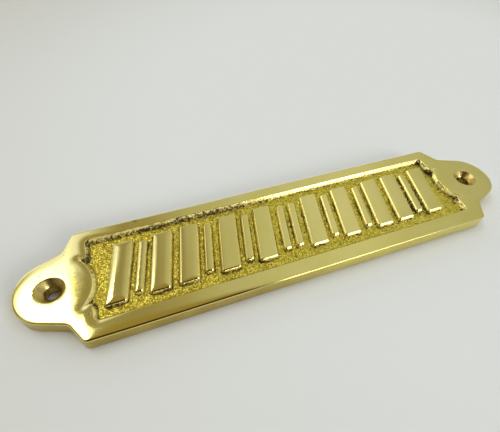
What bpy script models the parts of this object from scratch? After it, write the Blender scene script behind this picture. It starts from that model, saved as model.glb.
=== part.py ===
"""A cast brass door sign with a sunk panel and two screw ears, for Blender 4.5 (metres, +Z up).

The sign is modelled lying on its back: x runs along it, y across it, and z out of its front face.
An empty then stands it up as it hangs on a door, with its front facing -Y and the middle of its
back at the world origin.
"""
import itertools
import math

import bmesh
import bpy

MM = 0.001

# Plate
BODY_LENGTH = 161.6 * MM      # between the corners of the shoulders, before they are rounded
PLATE_WIDTH = 44.5 * MM
PLATE_THICKNESS = 6.0 * MM
ROLLED_EDGE = 0.9 * MM        # rounding of the front's outer edge

# Ears and their screw holes
HOLE_SETBACK = 8.75 * MM      # from the shoulders' corners out to a screw hole
EAR_RADIUS = 12.05 * MM
FLANK_ANGLE = math.radians(20)
SHOULDER_ANGLE = math.radians(61)
SHOULDER_RADIUS = 2.6 * MM
NECK_RADIUS = 3.2 * MM
SCREW_HOLE = 4.9 * MM         # diameter
COUNTERSINK = 9.4 * MM        # diameter at the front face
COUNTERSINK_ANGLE = math.radians(90)

# Sunk panel, measured where it opens in the front face
UPPER_RIM = 4.5 * MM          # along the upper long side
LOWER_RIM = 5.9 * MM          # along the lower long side
END_RIM = 3.75 * MM           # from the shoulders' corners in to the panel's straight ends
PANEL_DEPTH = 2.2 * MM
PANEL_CORNER = 2.0 * MM
LIP = 0.5 * MM                # soft upper edge of the panel's walls
WALL_LEAN = 0.7 * MM          # how far a wall comes in between its soft edge and the floor
BULGE_RADIUS = 13.55 * MM     # the rim's round bulge into the panel, about the screw hole
NOTCH_ANGLE = math.radians(45)
NOTCH_CORNER = 0.4 * MM

# Raised row of strokes, measured at the top of their walls
ROW_HEIGHT = 24.6 * MM
ROW_LEAN = math.radians(14)
ROW_END_GAP = 2.6 * MM        # from the row's ends to the crests of the bulges
ROW_BELOW_RIM = 0.1 * MM
THICK_STROKE = 7.3 * MM
THIN_STROKE = 3.0 * MM
STROKE_GAP = 2.3 * MM         # within a group
GROUP_GAP = 3.0 * MM          # between groups, at least
THIN_SHARE = 0.86             # a thin stroke's height as a share of a thick one's
STROKE_CORNER = 0.8 * MM
STROKE_EDGE = 0.4 * MM        # soft upper edge of a stroke
STROKE_WALL_LEAN = 0.4 * MM   # how far a wall goes out between its soft edge and the floor
GROUPS = (                    # in this order, over again where the row has room
    ("thick", "thin", "thick"),
    ("thick", "thin"),
    ("thick", "thin", "thick"),
    ("thin", "thin"),
    ("thick", "thin", "thick"),
    ("thin", "thick"),
    ("thick", "thin", "thick"),
)

# Facets
ARC_STEP = math.radians(10)
STROKE_ARC_STEP = math.radians(36)
SOFT_EDGE_STEPS = 2
ROLLED_EDGE_STEPS = 3
HOLE_SIDES = 40

# Overlaps that keep the faces that are joined or cut apart
ROOT_OVERLAP = 0.6 * MM
CUT_MARGIN = 1.0 * MM
WELD_DISTANCE = 0.001 * MM

BRASS_COLOUR = (0.79, 0.63, 0.25, 1.0)
BRASS_ROUGHNESS = 0.22

# What follows from the sizes above
BODY_END = BODY_LENGTH / 2
HALF_WIDTH = PLATE_WIDTH / 2
HOLE_X = BODY_END + HOLE_SETBACK
PANEL_END = BODY_END - END_RIM
PANEL_TOP = HALF_WIDTH - UPPER_RIM
PANEL_BOTTOM = LOWER_RIM - HALF_WIDTH
ROW_Y = (PANEL_TOP + PANEL_BOTTOM) / 2
FLOOR_Z = PLATE_THICKNESS - PANEL_DEPTH
ROW_Z = PLATE_THICKNESS - ROW_BELOW_RIM
ROW_END = HOLE_X - BULGE_RADIUS - ROW_END_GAP
STROKE_SIZES = {"thick": (THICK_STROKE, ROW_HEIGHT), "thin": (THIN_STROKE, ROW_HEIGHT * THIN_SHARE)}


def crossing(point_a, angle_a, point_b, angle_b):
    """Where two lines meet, each given by a point and the angle that it runs at."""
    ax, ay = point_a
    bx, by = point_b
    ux, uy = math.cos(angle_a), math.sin(angle_a)
    vx, vy = math.cos(angle_b), math.sin(angle_b)
    along = ((bx - ax) * vy - (by - ay) * vx) / (ux * vy - uy * vx)
    return ax + along * ux, ay + along * uy


def facets(turn, step=ARC_STEP):
    """How many straight steps an arc takes, with a little slack so that whole numbers stay whole."""
    return max(1, math.ceil(abs(turn) / step - 0.01))


def arc(centre, radius, start, turn, count):
    """Points on an arc that starts at one angle and turns by another."""
    angles = (start + turn * i / count for i in range(count + 1))
    return [(centre[0] + radius * math.cos(a), centre[1] + radius * math.sin(a)) for a in angles]


def rounded(corners, step=ARC_STEP):
    """A closed loop through corners (x, y, radius), each rounded to its radius, or sharp at 0."""
    loop = []
    for i, (x, y, radius) in enumerate(corners):
        if not radius:
            loop.append((x, y))
            continue
        before = corners[i - 1]
        after = corners[(i + 1) % len(corners)]
        to_before = math.atan2(before[1] - y, before[0] - x)
        to_after = math.atan2(after[1] - y, after[0] - x)
        turn = math.remainder(to_after - to_before - math.pi, math.tau)
        start = to_before + math.copysign(math.pi / 2, turn)
        reach = radius / math.cos(turn / 2)
        middle = start + turn / 2
        centre = (x - reach * math.cos(middle), y - reach * math.sin(middle))
        loop += arc(centre, radius, start, turn, facets(turn, step))
    return loop


def both_ends(half):
    """A closed loop from its right half, from bottom to top, which is mirrored for the left one."""
    return half + [(-x, y, radius) for x, y, radius in reversed(half)]


def plate_outline():
    """The plate's plan: a long bar whose stepped shoulders run into a round ear at each end."""
    tangent = math.pi / 2 - FLANK_ANGLE
    flank_start = (HOLE_X + EAR_RADIUS * math.cos(tangent), EAR_RADIUS * math.sin(tangent))
    neck_x, neck_y = crossing(flank_start, -FLANK_ANGLE, (BODY_END, HALF_WIDTH), -SHOULDER_ANGLE)
    ear = arc((HOLE_X, 0), EAR_RADIUS, -tangent, 2 * tangent, facets(2 * tangent))
    half = [(BODY_END, -HALF_WIDTH, SHOULDER_RADIUS), (neck_x, -neck_y, NECK_RADIUS)]
    half += [(x, y, 0) for x, y in ear]
    half += [(neck_x, neck_y, NECK_RADIUS), (BODY_END, HALF_WIDTH, SHOULDER_RADIUS)]
    return rounded(both_ends(half))


def panel_outline(inset):
    """The sunk panel's plan, drawn in from its opening by an inset.

    The rim bulges into each end about the screw hole, between two pointed notches.
    """
    end = PANEL_END - inset
    top = PANEL_TOP - inset
    bottom = PANEL_BOTTOM + inset
    notch = BULGE_RADIUS * math.sin(NOTCH_ANGLE) - inset
    bulge = BULGE_RADIUS + inset
    opening = math.asin(notch / bulge)
    crest = arc((HOLE_X, 0), bulge, math.pi + opening, -2 * opening, facets(2 * NOTCH_ANGLE))
    half = [(end, bottom, PANEL_CORNER - inset), (end, -notch, NOTCH_CORNER + inset)]
    half += [(x, y, 0) for x, y in crest]
    half += [(end, notch, NOTCH_CORNER + inset), (end, top, PANEL_CORNER - inset)]
    return rounded(both_ends(half))


def stroke_outline(middle, width, height, grown):
    """A leaning stroke with level ends, about a point on the row's middle line."""
    half_width = width / 2 + grown / math.cos(ROW_LEAN)
    half_height = height / 2 + grown
    corners = []
    for side, end in ((1, -1), (1, 1), (-1, 1), (-1, -1)):
        rise = end * half_height
        x = middle + side * half_width + rise * math.tan(ROW_LEAN)
        corners.append((x, ROW_Y + rise, STROKE_CORNER + grown))
    return rounded(corners, STROKE_ARC_STEP)


def group_width(group):
    return sum(STROKE_SIZES[kind][0] for kind in group) + STROKE_GAP * (len(group) - 1)


def groups_that_fit(length):
    """The groups that a row of that length takes, in order, with the group gap between them."""
    groups = []
    for group in itertools.cycle(GROUPS):
        length -= group_width(group)
        if length < 0:
            return groups
        groups.append(group)
        length -= GROUP_GAP


def row_of_strokes():
    """The middle, width and height of every stroke, in groups spread evenly along the row."""
    half_row = ROW_END - ROW_HEIGHT / 2 * math.tan(ROW_LEAN)
    groups = groups_that_fit(2 * half_row)
    spare = 2 * half_row - sum(group_width(group) for group in groups)
    step = spare / max(1, len(groups) - 1)
    strokes = []
    left = -half_row
    for group in groups:
        for kind in group:
            width, height = STROKE_SIZES[kind]
            strokes.append((left + width / 2, width, height))
            left += width + STROKE_GAP
        left += step - STROKE_GAP
    return strokes


def soft_edge(radius, top):
    """Steps (set back, z) round a softened edge, from its wall up to the face at the top."""
    angles = (math.pi / 2 * i / SOFT_EDGE_STEPS for i in range(SOFT_EDGE_STEPS + 1))
    return [(radius * (1 - math.cos(a)), top - radius * (1 - math.sin(a))) for a in angles]


def panel_levels():
    levels = [(panel_outline(LIP + WALL_LEAN), FLOOR_Z)]
    levels += [(panel_outline(LIP - back), z) for back, z in soft_edge(LIP, PLATE_THICKNESS)]
    levels.append((panel_outline(0), PLATE_THICKNESS + CUT_MARGIN))
    return levels


def stroke_levels(middle, width, height):
    wall = ROW_Z - STROKE_EDGE - FLOOR_Z
    root = STROKE_WALL_LEAN * (1 + ROOT_OVERLAP / wall)
    levels = [(stroke_outline(middle, width, height, root), FLOOR_Z - ROOT_OVERLAP)]
    levels += [(stroke_outline(middle, width, height, -back), z) for back, z in soft_edge(STROKE_EDGE, ROW_Z)]
    return levels


def loft(name, bodies, collection):
    """An object of closed bodies, each through outlines (loop, z) of as many points, from low to high."""
    shape = bmesh.new()
    for levels in bodies:
        rings = [[shape.verts.new((x, y, z)) for x, y in loop] for loop, z in levels]
        shape.faces.new(reversed(rings[0]))
        shape.faces.new(rings[-1])
        for low, high in zip(rings, rings[1:]):
            for i, vert in enumerate(low):
                shape.faces.new((low[i - 1], vert, high[i], high[i - 1]))
    mesh = bpy.data.meshes.new(name)
    shape.to_mesh(mesh)
    shape.free()
    return add_object(name, mesh, collection)


def add_object(name, data, collection):
    obj = bpy.data.objects.new(name, data)
    collection.objects.link(obj)
    return obj


def extruded(name, outline, thickness, collection):
    """A flat outline as a filled curve, made a welded mesh that stands from z = 0 to its thickness."""
    curve = bpy.data.curves.new(name + "_outline", "CURVE")
    curve.dimensions = "2D"
    curve.fill_mode = "BOTH"
    curve.extrude = thickness / 2
    spline = curve.splines.new("POLY")
    spline.points.add(len(outline) - 1)
    for point, (x, y) in zip(spline.points, outline):
        point.co = (x, y, 0, 1)
    spline.use_cyclic_u = True
    drawn = add_object(name + "_outline", curve, collection)
    evaluated = drawn.evaluated_get(bpy.context.evaluated_depsgraph_get())
    mesh = bpy.data.meshes.new_from_object(evaluated)
    bpy.data.objects.remove(drawn, do_unlink=True)
    shape = bmesh.new()
    shape.from_mesh(mesh)
    bmesh.ops.remove_doubles(shape, verts=shape.verts, dist=WELD_DISTANCE)
    bmesh.ops.translate(shape, verts=shape.verts, vec=(0, 0, thickness / 2))
    bmesh.ops.recalc_face_normals(shape, faces=shape.faces)
    shape.to_mesh(mesh)
    shape.free()
    return add_object(name, mesh, collection)


def roll_front_edge(plate):
    """Rounds the edge between the front face and the sides, and leaves the back's edge square."""
    shape = bmesh.new()
    shape.from_mesh(plate.data)
    weight = shape.edges.layers.float.new("bevel_weight_edge")
    for edge in shape.edges:
        heights = [vert.co.z for vert in edge.verts]
        facing = [face.normal.z for face in edge.link_faces]
        if min(heights) > PLATE_THICKNESS / 2 and max(facing) - min(facing) > 0.5:
            edge[weight] = 1
    shape.to_mesh(plate.data)
    shape.free()
    bevel = plate.modifiers.new("rolled edge", "BEVEL")
    bevel.limit_method = "WEIGHT"
    bevel.width = ROLLED_EDGE
    bevel.segments = ROLLED_EDGE_STEPS


def screw_hole_cutter(name, collection):
    """A turned cutter for a countersunk hole: its profile runs down the outer side."""
    hole = SCREW_HOLE / 2
    sink = COUNTERSINK / 2
    slope = math.tan(COUNTERSINK_ANGLE / 2)
    top = PLATE_THICKNESS + CUT_MARGIN
    profile = (
        (0, top),
        (sink + CUT_MARGIN * slope, top),
        (hole, PLATE_THICKNESS - (sink - hole) / slope),
        (hole, -CUT_MARGIN),
        (0, -CUT_MARGIN),
    )
    mesh = bpy.data.meshes.new(name)
    mesh.from_pydata([(x, 0, z) for x, z in profile], [(i, i + 1) for i in range(len(profile) - 1)], [])
    cutter = add_object(name, mesh, collection)
    screw = cutter.modifiers.new("turn", "SCREW")
    screw.steps = HOLE_SIDES
    screw.render_steps = HOLE_SIDES
    screw.use_merge_vertices = True
    screw.merge_threshold = WELD_DISTANCE
    return cutter


def combine(target, operation, other):
    boolean = target.modifiers.new(f"{operation.lower()} {other.name}", "BOOLEAN")
    boolean.operation = operation
    boolean.solver = "EXACT"
    boolean.object = other


def brass():
    material = bpy.data.materials.new("brass")
    material.use_nodes = True
    shader = material.node_tree.nodes["Principled BSDF"]
    shader.inputs["Base Color"].default_value = BRASS_COLOUR
    shader.inputs["Metallic"].default_value = 1.0
    shader.inputs["Roughness"].default_value = BRASS_ROUGHNESS
    return material


def main():
    for old in list(bpy.data.objects):
        bpy.data.objects.remove(old, do_unlink=True)
    parts = bpy.data.collections.new("brass_door_sign")
    cutters = bpy.data.collections.new("cutters")
    for collection in (parts, cutters):
        bpy.context.scene.collection.children.link(collection)

    plate = extruded("sign_plate", plate_outline(), PLATE_THICKNESS, parts)
    roll_front_edge(plate)
    plate.data.materials.append(brass())

    panel = loft("panel_cutter", [panel_levels()], cutters)
    combine(plate, "DIFFERENCE", panel)
    shaping = [panel]
    for side, name in ((-1, "left_screw_hole_cutter"), (1, "right_screw_hole_cutter")):
        cutter = screw_hole_cutter(name, cutters)
        cutter.location.x = side * HOLE_X
        combine(plate, "DIFFERENCE", cutter)
        shaping.append(cutter)
    row = loft("row_of_strokes", [stroke_levels(*stroke) for stroke in row_of_strokes()], cutters)
    combine(plate, "UNION", row)
    shaping.append(row)
    for cutter in shaping:
        cutter.hide_render = True
        cutter.display_type = "WIRE"

    standing = add_object("standing", None, parts)
    standing.rotation_euler.x = math.pi / 2
    for obj in (plate, *shaping):
        obj.parent = standing


main()
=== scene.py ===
# %% [markdown]
# # A cast brass door sign
#
# This lesson dresses a plain CAD solid of a door sign, cast in brass in one pour: a long plate with
# a round ear at each end, a sunk panel with a stippled floor, and a raised row of leaning strokes.
# The rim, the ears and the tops of the strokes are buffed to a mirror, and the low places are left
# as cast.
#
# The frame comes first. It holds the solid at its real size, and everything below is fitted to it.

# %% Load the frame
import math

import bmesh
import bpy
import numpy as np
from mathutils import Matrix, Vector, noise
from mathutils.geometry import delaunay_2d_cdt


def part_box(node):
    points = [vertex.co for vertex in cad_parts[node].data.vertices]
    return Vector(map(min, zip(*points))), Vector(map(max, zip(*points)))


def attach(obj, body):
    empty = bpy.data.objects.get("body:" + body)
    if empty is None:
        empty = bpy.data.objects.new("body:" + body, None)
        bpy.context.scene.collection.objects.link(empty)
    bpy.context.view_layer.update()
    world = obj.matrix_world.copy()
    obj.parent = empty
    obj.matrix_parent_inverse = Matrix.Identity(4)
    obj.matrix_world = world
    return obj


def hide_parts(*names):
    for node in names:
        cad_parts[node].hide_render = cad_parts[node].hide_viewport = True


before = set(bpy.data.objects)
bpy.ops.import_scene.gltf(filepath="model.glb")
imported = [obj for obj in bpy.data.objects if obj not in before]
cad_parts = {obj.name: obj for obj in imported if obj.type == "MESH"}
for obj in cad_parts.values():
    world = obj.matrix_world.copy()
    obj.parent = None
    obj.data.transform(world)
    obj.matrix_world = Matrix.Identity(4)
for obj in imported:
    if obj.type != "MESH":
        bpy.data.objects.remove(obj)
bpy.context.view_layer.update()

MM = 0.001
plate_low, plate_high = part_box("sign_plate")
LENGTH, THICKNESS, WIDTH = (plate_high - plate_low) / MM
print(f"The solid is {LENGTH:.1f} mm long, {WIDTH:.1f} mm wide and {THICKNESS:.1f} mm thick")

# %% [markdown]
# ## Two frames
#
# The sign hangs on a door, so its front faces -Y. It is easier to draw lying on its back, in
# millimetres: x along it, y across it, and z out of its front. These helpers stand it up.

# %% Stand things up
def standing(points):
    """Places on the lying sign, in millimetres, as places in the scene, in metres."""
    points = np.atleast_2d(np.asarray(points, float))
    return np.column_stack((points[:, 0], -points[:, 2], points[:, 1])) * MM


def placed(point):
    return Vector(standing(point)[0])


print("The middle of the front face stands at", tuple(round(v, 4) for v in placed((0, 0, THICKNESS))))

# %% [markdown]
# ## Camera
#
# The photograph was taken from very near, so the left ear is much larger in it than the right one.
# The place, aim, roll and lens come from fitting the sign's outlines to the picture.

# %% Set the camera
CAMERA_PLACE = (-54.7, -79.5, 121.3)
CAMERA_AIM = (-13.9, 9.4, 6.0)
CAMERA_ROLL = math.radians(-26.07)
CAMERA_LENS = 26.86
CAMERA_SENSOR = 36
NEAREST_SEEN = 0.01           # in metres

camera_data = bpy.data.cameras.new("camera")
camera_data.sensor_width = CAMERA_SENSOR
camera_data.lens = CAMERA_LENS
camera_data.clip_start = NEAREST_SEEN
camera = bpy.data.objects.new("camera", camera_data)
bpy.context.scene.collection.objects.link(camera)
camera.location = placed(CAMERA_PLACE)
sight = placed(CAMERA_AIM) - camera.location
aim = sight.to_track_quat("-Z", "Y")
camera.rotation_mode = "QUATERNION"
camera.rotation_quaternion = aim @ Matrix.Rotation(CAMERA_ROLL, 3, "Z").to_quaternion()
bpy.context.scene.camera = camera
print(f"The camera looks from {sight.length / MM:.0f} mm away")

# %% [markdown]
# ## Outlines
#
# Every contour of the sign is a closed loop with rounded corners. A loop is given by its corners and
# their radii, so one helper draws them all, and a contour a little further in is the same loop with
# other numbers.

# %% Round the corners of a loop
ARC_STEP = math.radians(9)
SAME_PLACE = 1e-6


def crossing(point_a, angle_a, point_b, angle_b):
    """Where two lines meet, each given by a point and the angle that it runs at."""
    ax, ay = point_a
    bx, by = point_b
    ux, uy = math.cos(angle_a), math.sin(angle_a)
    vx, vy = math.cos(angle_b), math.sin(angle_b)
    along = ((bx - ax) * vy - (by - ay) * vx) / (ux * vy - uy * vx)
    return ax + along * ux, ay + along * uy


def arc(centre, radius, start, turn, step=ARC_STEP):
    count = max(1, math.ceil(abs(turn) / step))
    angles = (start + turn * i / count for i in range(count + 1))
    return [(centre[0] + radius * math.cos(a), centre[1] + radius * math.sin(a)) for a in angles]


def rounded(corners, step=ARC_STEP):
    """A closed loop through corners (x, y, radius), each rounded to its radius, or sharp at 0."""
    loop = []
    for i, (x, y, radius) in enumerate(corners):
        if radius <= 0:
            loop.append((x, y))
            continue
        before = corners[i - 1]
        after = corners[(i + 1) % len(corners)]
        to_before = math.atan2(before[1] - y, before[0] - x)
        to_after = math.atan2(after[1] - y, after[0] - x)
        turn = math.remainder(to_after - to_before - math.pi, math.tau)
        start = to_before + math.copysign(math.pi / 2, turn)
        reach = radius / math.cos(turn / 2)
        middle = start + turn / 2
        centre = (x - reach * math.cos(middle), y - reach * math.sin(middle))
        loop += arc(centre, radius, start, turn, step)
    return loop


def both_ends(half):
    """A closed loop from its right half, from bottom to top, which is mirrored for the left one."""
    return half + [(-x, y, radius) for x, y, radius in reversed(half)]


def evenly(loop, spacing):
    """The loop with no step longer than the spacing, and without doubled points."""
    points = []
    for start, end in zip(loop, loop[1:] + loop[:1]):
        count = max(1, math.ceil(math.dist(start, end) / spacing))
        points += [np.array(start) + (np.array(end) - start) * i / count for i in range(count)]
    return np.array([p for i, p in enumerate(points) if math.dist(p, points[i - 1]) > SAME_PLACE])


print("A square with rounded corners has", len(rounded(both_ends([(5, -5, 1), (5, 5, 1)]))), "points")

# %% Draw the plate and its sunk panel
HOLE_SETBACK = 8.75
EAR_RADIUS = 12.05
FLANK_ANGLE = math.radians(20)
SHOULDER_ANGLE = math.radians(61)
SHOULDER_RADIUS = 2.6
NECK_RADIUS = 3.2
UPPER_RIM = 4.5
LOWER_RIM = 5.9
END_RIM = 3.75
PANEL_CORNER = 2.0
BULGE_RADIUS = 13.55
NOTCH_ANGLE = math.radians(45)
NOTCH_CORNER = 0.4

BODY_END = LENGTH / 2 - EAR_RADIUS - HOLE_SETBACK
HALF_WIDTH = WIDTH / 2
HOLE_X = BODY_END + HOLE_SETBACK
PANEL_END = BODY_END - END_RIM
PANEL_TOP = HALF_WIDTH - UPPER_RIM
PANEL_BOTTOM = LOWER_RIM - HALF_WIDTH
NOTCH_Y = BULGE_RADIUS * math.sin(NOTCH_ANGLE)


def plate_outline():
    tangent = math.pi / 2 - FLANK_ANGLE
    flank_start = (HOLE_X + EAR_RADIUS * math.cos(tangent), EAR_RADIUS * math.sin(tangent))
    neck_x, neck_y = crossing(flank_start, -FLANK_ANGLE, (BODY_END, HALF_WIDTH), -SHOULDER_ANGLE)
    half = [(BODY_END, -HALF_WIDTH, SHOULDER_RADIUS), (neck_x, -neck_y, NECK_RADIUS)]
    half += [(x, y, 0) for x, y in arc((HOLE_X, 0), EAR_RADIUS, -tangent, 2 * tangent)]
    half += [(neck_x, neck_y, NECK_RADIUS), (BODY_END, HALF_WIDTH, SHOULDER_RADIUS)]
    return rounded(both_ends(half))


def panel_outline(inset):
    """The sunk panel, drawn in from its opening: the rim bulges into each end between two notches."""
    end = PANEL_END - inset
    top = PANEL_TOP - inset
    bottom = PANEL_BOTTOM + inset
    notch = NOTCH_Y - inset
    bulge = BULGE_RADIUS + inset
    opening = math.asin(notch / bulge)
    half = [(end, bottom, PANEL_CORNER - inset), (end, -notch, NOTCH_CORNER + inset)]
    half += [(x, y, 0) for x, y in arc((HOLE_X, 0), bulge, math.pi + opening, -2 * opening)]
    half += [(end, notch, NOTCH_CORNER + inset), (end, top, PANEL_CORNER - inset)]
    return rounded(both_ends(half))


print(f"The screw holes are {2 * HOLE_X:.1f} mm apart")

# %% Draw the row of strokes
ROW_HEIGHT = 24.6
ROW_LEAN = math.radians(14)
ROW_END_GAP = 2.6
THICK_STROKE = 7.3
THIN_STROKE = 3.0
STROKE_GAP = 2.3
THIN_SHARE = 0.86             # a thin stroke's height as a share of a thick one's
STROKE_CORNER = 0.8
ROW_Y = (PANEL_TOP + PANEL_BOTTOM) / 2
GROUPS = ("thick thin thick", "thick thin", "thick thin thick", "thin thin",
          "thick thin thick", "thin thick", "thick thin thick")
STROKE_SIZES = {"thick": (THICK_STROKE, ROW_HEIGHT), "thin": (THIN_STROKE, ROW_HEIGHT * THIN_SHARE)}


def group_width(group):
    return sum(STROKE_SIZES[kind][0] for kind in group) + STROKE_GAP * (len(group) - 1)


def row_of_strokes():
    """The middle, width and height of every stroke, in groups spread evenly along the row."""
    groups = [group.split() for group in GROUPS]
    half_row = HOLE_X - BULGE_RADIUS - ROW_END_GAP - ROW_HEIGHT / 2 * math.tan(ROW_LEAN)
    group_gap = (2 * half_row - sum(group_width(group) for group in groups)) / (len(groups) - 1)
    strokes = []
    left = -half_row
    for group in groups:
        for kind in group:
            width, height = STROKE_SIZES[kind]
            strokes.append((left + width / 2, width, height))
            left += width + STROKE_GAP
        left += group_gap - STROKE_GAP
    return strokes


def stroke_outline(stroke, grown):
    """A leaning stroke with level ends, drawn out from the top of its walls."""
    middle, width, height = stroke
    half_width = width / 2 + grown / math.cos(ROW_LEAN)
    half_height = height / 2 + grown
    corners = []
    for side, end in ((1, -1), (1, 1), (-1, 1), (-1, -1)):
        rise = end * half_height
        x = middle + side * half_width + rise * math.tan(ROW_LEAN)
        corners.append((x, ROW_Y + rise, STROKE_CORNER + grown))
    return rounded(corners)


STROKES = row_of_strokes()
print(f"The row has {len(STROKES)} strokes")

# %% [markdown]
# ## Distances
#
# The height of a cast and buffed surface depends on how far a point is from the nearest contour. So
# the next helpers measure that, for all points at once.

# %% Measure distances to a loop
PLATE_SPACING = 1.3
PANEL_SPACING = 100
NEAR = 3.0


def signed_distance(loop, points):
    """How far inside a closed loop each point lies. Outside, the distance is negative."""
    nearest = np.full(len(points), np.inf)
    within = np.zeros(len(points), bool)
    x, y = points.T
    for (ax, ay), (bx, by) in zip(loop, np.roll(loop, -1, axis=0)):
        dx, dy = bx - ax, by - ay
        share = np.clip(((x - ax) * dx + (y - ay) * dy) / (dx * dx + dy * dy), 0, 1)
        nearest = np.minimum(nearest, (x - ax - share * dx) ** 2 + (y - ay - share * dy) ** 2)
        if dy:
            within ^= ((ay > y) != (by > y)) & (x < ax + (y - ay) / dy * dx)
    return np.where(within, 1, -1) * np.sqrt(nearest)


def stroke_distance(points):
    """How far inside the nearest stroke each point lies, or minus NEAR where none is near."""
    inside = np.full(len(points), -NEAR)
    for stroke in STROKES:
        loop = np.array(stroke_outline(stroke, 0))
        close = np.all((points > loop.min(0) - NEAR) & (points < loop.max(0) + NEAR), axis=1)
        inside[close] = np.maximum(inside[close], signed_distance(loop, points[close]))
    return inside


PLATE_LOOP = evenly(plate_outline(), PLATE_SPACING)
PANEL_LOOP = evenly(panel_outline(0), PANEL_SPACING)
print(f"The plate's loop has {len(PLATE_LOOP)} points and the panel's {len(PANEL_LOOP)}")

# %% [markdown]
# ## The front as a landscape
#
# Seen from the front, no part of the face hides another, so the whole face can be one landscape: a
# height for every place. Walls are steep slopes in it. Each wall has a section, drawn as a few corners
# with radii, by the same helper as the outlines: a steep foot as cast, a filed slope above it, and a
# soft edge. One more corner just past the edge holds the shading of the flat beside it level.

# %% Give the walls their sections
PANEL_DEPTH = 2.2
FLOOR_Z = THICKNESS - PANEL_DEPTH
PANEL_WALL = 1.2
PANEL_FOOT = (0.26, 1.1)      # how far the steep foot leans, and how high it goes
PANEL_EDGE = 0.25
ROW_BELOW_RIM = 0.1
STROKE_LEAN = 0.4
STROKE_SHOULDER = 0.3
STROKE_FOOT = (0.3, 1.5)
STROKE_EDGE = 0.22
ROOT_FILLET = 0.26
FILED_CORNER = 0.12           # where the steep foot meets the filed slope
SECTION_STEP = math.radians(19)
SECTION_REACH = 4
HOLD = 0.32                   # from an edge to the corner that holds the flat's shading


def wall_section(foot, foot_size, shoulder, depth, edge):
    """Distances across a wall, and the share of its height that each has reached."""
    first, last = foot - SECTION_REACH, shoulder + SECTION_REACH
    corners = ((first, 0, 0), (foot, 0, ROOT_FILLET), (foot + foot_size[0], foot_size[1], FILED_CORNER),
               (shoulder, depth, edge), (shoulder + HOLD, depth, 0), (last, depth, 0))
    distances, heights = np.array([p for p in rounded(corners, SECTION_STEP) if first < p[0] < last]).T
    return distances, heights / depth


PANEL_STEPS, PANEL_SHARES = wall_section(-PANEL_WALL, PANEL_FOOT, 0, PANEL_DEPTH, PANEL_EDGE)
STROKE_STEPS, STROKE_SHARES = wall_section(
    -STROKE_LEAN, STROKE_FOOT, STROKE_SHOULDER, PANEL_DEPTH - ROW_BELOW_RIM, STROKE_EDGE)
print(f"The rim's wall has {len(PANEL_STEPS)} steps and a stroke's has {len(STROKE_STEPS)}")

# %% [markdown]
# ## Wear of the buffing wheel
#
# A buffing wheel takes more off an edge than off the middle, so the flats sink gently towards every
# edge, and what they mirror bends there. The left end was pressed harder, so its edges are rounder.
# A wear has a depth and a reach, each with a value for the right end and one for the left end, and
# each has a stretch of x where one passes into the other. The plate's outer edge is rolled over as
# well: ROLL_SIZES are its radii at the places along the sign that ROLL_PLACES gives.

# %% Wear the edges down
RIM_WEAR, RIM_REACH = (0.05, 0.16), (2.0, 2.8)
OUTER_WEAR, OUTER_REACH = (0.04, 0.25), (1.7, 4.8)
STROKE_WEAR, STROKE_REACH = (0.04, 0.26), (1.4, 2.6)
RIM_FADE = (-60, -80)
OUTER_FADE = (0, -80)
STROKE_FADE = (-22, -66)
HARD_SIDE = (-9, -16)         # the lower rim, pressed harder than the upper one
HARD_END = (-79, -70)
EAR_FADE = (82, 89)
EAR_HARDNESS = (0.25, 0.5)    # of the right ear and of the left one
ROLL_PLACES = (-30, 0, 20, 70)
ROLL_SIZES = (0.85, 0.28, 0.22, 0.12)
WAVE_SIZE = 9.0
WAVE_DEPTH = 0.010


def eased(value, fade):
    """A smooth way from 0 to 1 over a stretch from fade's first number to its second."""
    share = np.clip((value - fade[0]) / (fade[1] - fade[0]), 0, 1)
    return share * share * (3 - 2 * share)


def worn(distance, wear, reach, hardness):
    """How far buffing has lowered a flat, at a distance in from its edge."""
    share = np.clip(1 - distance / (reach[0] + (reach[1] - reach[0]) * hardness), 0, 1)
    return (wear[0] + (wear[1] - wear[0]) * hardness) * share * share


def gentle_waves(points):
    """The slow unevenness that hand buffing leaves, always below the true face."""
    return WAVE_DEPTH * np.array([1 + noise.noise(Vector((x, y, 0)) / WAVE_SIZE) for x, y in points])


def front_height(points):
    """The height of the front at each place, and the distances that it was worked out from."""
    into_panel = signed_distance(PANEL_LOOP, points)
    into_stroke = stroke_distance(points)
    from_edge = signed_distance(PLATE_LOOP, points)
    waves = gentle_waves(points)
    x, y = points.T
    hard_outer = eased(x, OUTER_FADE) * eased(x, HARD_END) * eased(y, HARD_SIDE)
    hard_outer = np.maximum(hard_outer, np.where(x > 0, *EAR_HARDNESS) * eased(np.abs(x), EAR_FADE))
    rim_wear = worn(np.maximum(-into_panel, 0), RIM_WEAR, RIM_REACH, eased(x, RIM_FADE))
    outer_wear = worn(from_edge - min(ROLL_SIZES), OUTER_WEAR, OUTER_REACH, hard_outer)
    from_shoulder = np.maximum(into_stroke - STROKE_SHOULDER, 0)
    stroke_wear = worn(from_shoulder, STROKE_WEAR, STROKE_REACH, eased(x, STROKE_FADE))
    rim = THICKNESS - waves - rim_wear - outer_wear
    top = THICKNESS - ROW_BELOW_RIM - waves - stroke_wear
    wall = np.interp(-into_panel, PANEL_STEPS, PANEL_SHARES) * (rim - FLOOR_Z)
    stroke = np.interp(into_stroke, STROKE_STEPS, STROKE_SHARES) * (top - FLOOR_Z)
    return FLOOR_Z + np.maximum(wall, stroke), into_panel, into_stroke


middle_of_rim = np.array([(0, (PANEL_TOP + HALF_WIDTH) / 2)])
print(f"The middle of the upper rim is {front_height(middle_of_rim)[0][0]:.3f} mm above the back")

# %% [markdown]
# ## Stippled floor
#
# The floor of the panel is stippled: the pattern was beaten all over with a blunt punch, and the
# cast took up every dent. A bump in the material would look flat from the side, so the dents are in
# the mesh. A cell noise gives them, and a finer noise breaks them up. The same helper roughens the
# walls a little, because no wheel reached them.

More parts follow.
